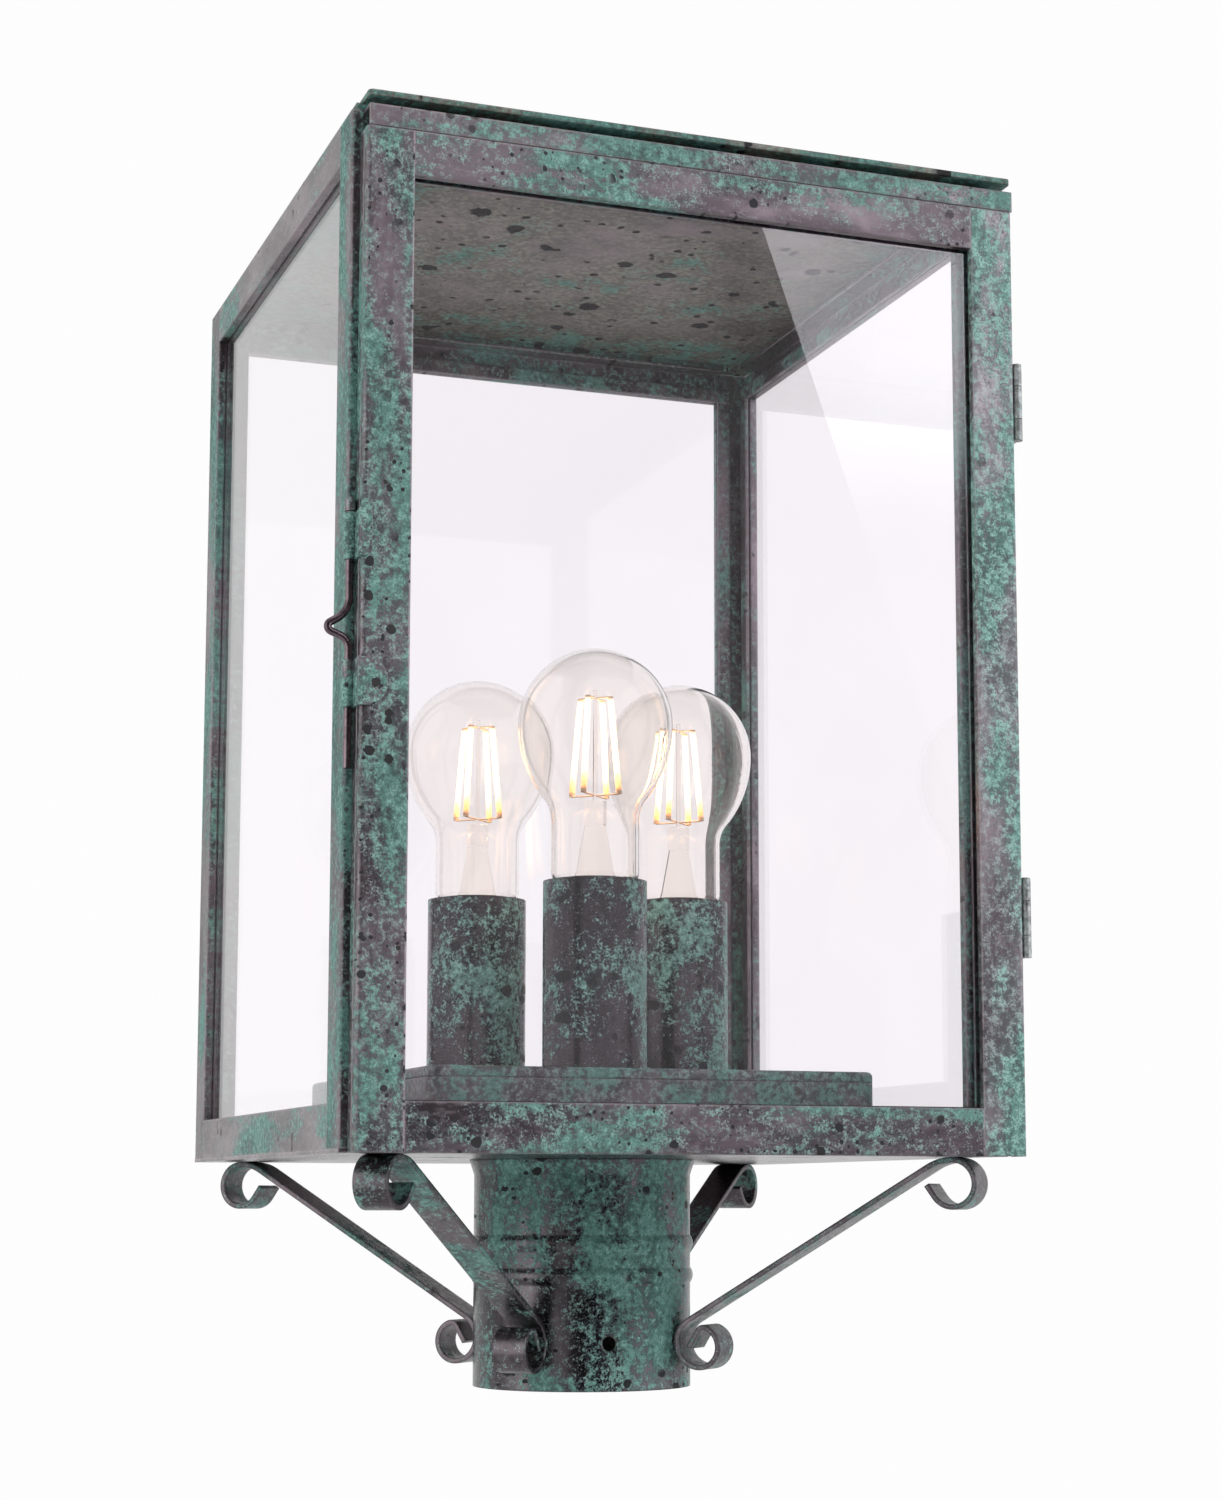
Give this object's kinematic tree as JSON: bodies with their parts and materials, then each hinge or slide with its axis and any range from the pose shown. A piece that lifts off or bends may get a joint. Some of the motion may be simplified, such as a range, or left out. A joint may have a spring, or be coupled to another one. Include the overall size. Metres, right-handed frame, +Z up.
{
  "type": "post top lantern",
  "caption": "Square glazed garden lantern for a post, with a hinged and latched glass door, upright lamps inside, a flat raised top and scroll brackets round its post sleeve.",
  "frame": {"origin": "centre of the post sleeve's bore at its open lower rim", "axes": "+Z up along the post; -Y towards the door; +X towards the door's hinges; the latch is on -X"},
  "size_m": [0.2689, 0.2628, 0.4617],
  "materials": {
    "patina_frame": "weathered verdigris over dark metal",
    "patina_roof": "weathered verdigris over dark metal",
    "patina_floor": "weathered verdigris over dark metal",
    "patina_door": "weathered verdigris over dark metal",
    "patina_box": "weathered verdigris over dark metal",
    "patina_lamp_sleeve": "dark weathered metal",
    "patina_sleeve": "weathered verdigris over dark metal",
    "patina_scroll": "weathered verdigris over dark metal",
    "strip_metal": "dark weathered metal",
    "window_glass": "clear flat glass",
    "hinge_metal": "weathered metal",
    "latch_metal": "weathered metal",
    "bulb_glass": "clear blown glass",
    "bulb_cap": "bright",
    "filament": "lit filament",
    "stem_glass": "clear pressed glass",
    "ceramic": null,
    "brass_parts": "plain",
    "terminal_plastic": "moulded",
    "lead_skin": "flexible",
    "screw_steel": "plain"
  },
  "bodies": {
    "frame": {"corner_post_front_left": "patina_frame", "corner_post_front_right": "patina_frame", "corner_post_back_left": "patina_frame", "corner_post_back_right": "patina_frame", "top_rail_left": "patina_frame", "top_rail_right": "patina_frame", "top_rail_back": "patina_frame", "bottom_rail_left": "patina_frame", "bottom_rail_right": "patina_frame", "bottom_rail_back": "patina_frame", "front_header": "patina_frame", "front_sill": "patina_frame", "drip_rail": "patina_frame", "roof_plate": "patina_roof", "roof_seat": "patina_roof", "floor_plate": "patina_floor", "glass_left": "window_glass", "glass_right": "window_glass", "glass_back": "window_glass", "glass_strips_left": "strip_metal", "glass_strips_right": "strip_metal", "glass_strips_back": "strip_metal", "wiring_box": "patina_box", "wiring_box_lid": "patina_box", "lamp_sleeve_front": "patina_lamp_sleeve", "lamp_sleeve_right": "patina_lamp_sleeve", "lamp_sleeve_left": "patina_lamp_sleeve", "lampholder_front": "ceramic", "lampholder_right": "ceramic", "lampholder_left": "ceramic", "holder_contacts": "brass_parts", "lamp_nipples": "brass_parts", "nipple_nuts": "brass_parts", "bulb_glass_front": "bulb_glass", "bulb_glass_right": "bulb_glass", "bulb_glass_left": "bulb_glass", "bulb_bases": "bulb_cap", "bulb_stems": "stem_glass", "bulb_filaments": "filament", "terminal_block": "terminal_plastic", "earth_screw": "screw_steel", "internal_leads": "lead_skin", "post_sleeve": "patina_sleeve", "scroll_bracket_back_left": "patina_scroll", "scroll_bracket_back_right": "patina_scroll", "scroll_bracket_front_left": "patina_scroll", "scroll_bracket_front_right": "patina_scroll", "hinge_frame_leaves": "hinge_metal", "hinge_pins": "hinge_metal", "latch_keeper": "latch_metal"},
    "door": {"door_stile_left": "patina_door", "door_stile_right": "patina_door", "door_rail_top": "patina_door", "door_rail_bottom": "patina_door", "door_glass": "window_glass", "door_glass_strips": "strip_metal", "hinge_door_leaves": "hinge_metal", "latch_guides": "latch_metal"},
    "latch_rod": {"latch_rod": "latch_metal"}
  },
  "joints": [
    {"name": "door_hinge", "type": "hinge", "parent": "frame", "child": "door", "pos_m": [0.1285, -0.134, 0.27], "axis": [0, 0, 1], "range_deg": [0, 170]},
    {"name": "latch_slide", "type": "slide", "parent": "door", "child": "latch_rod", "axis": [0, 0, -1], "range_m": [0, 0.004]}
  ]
}
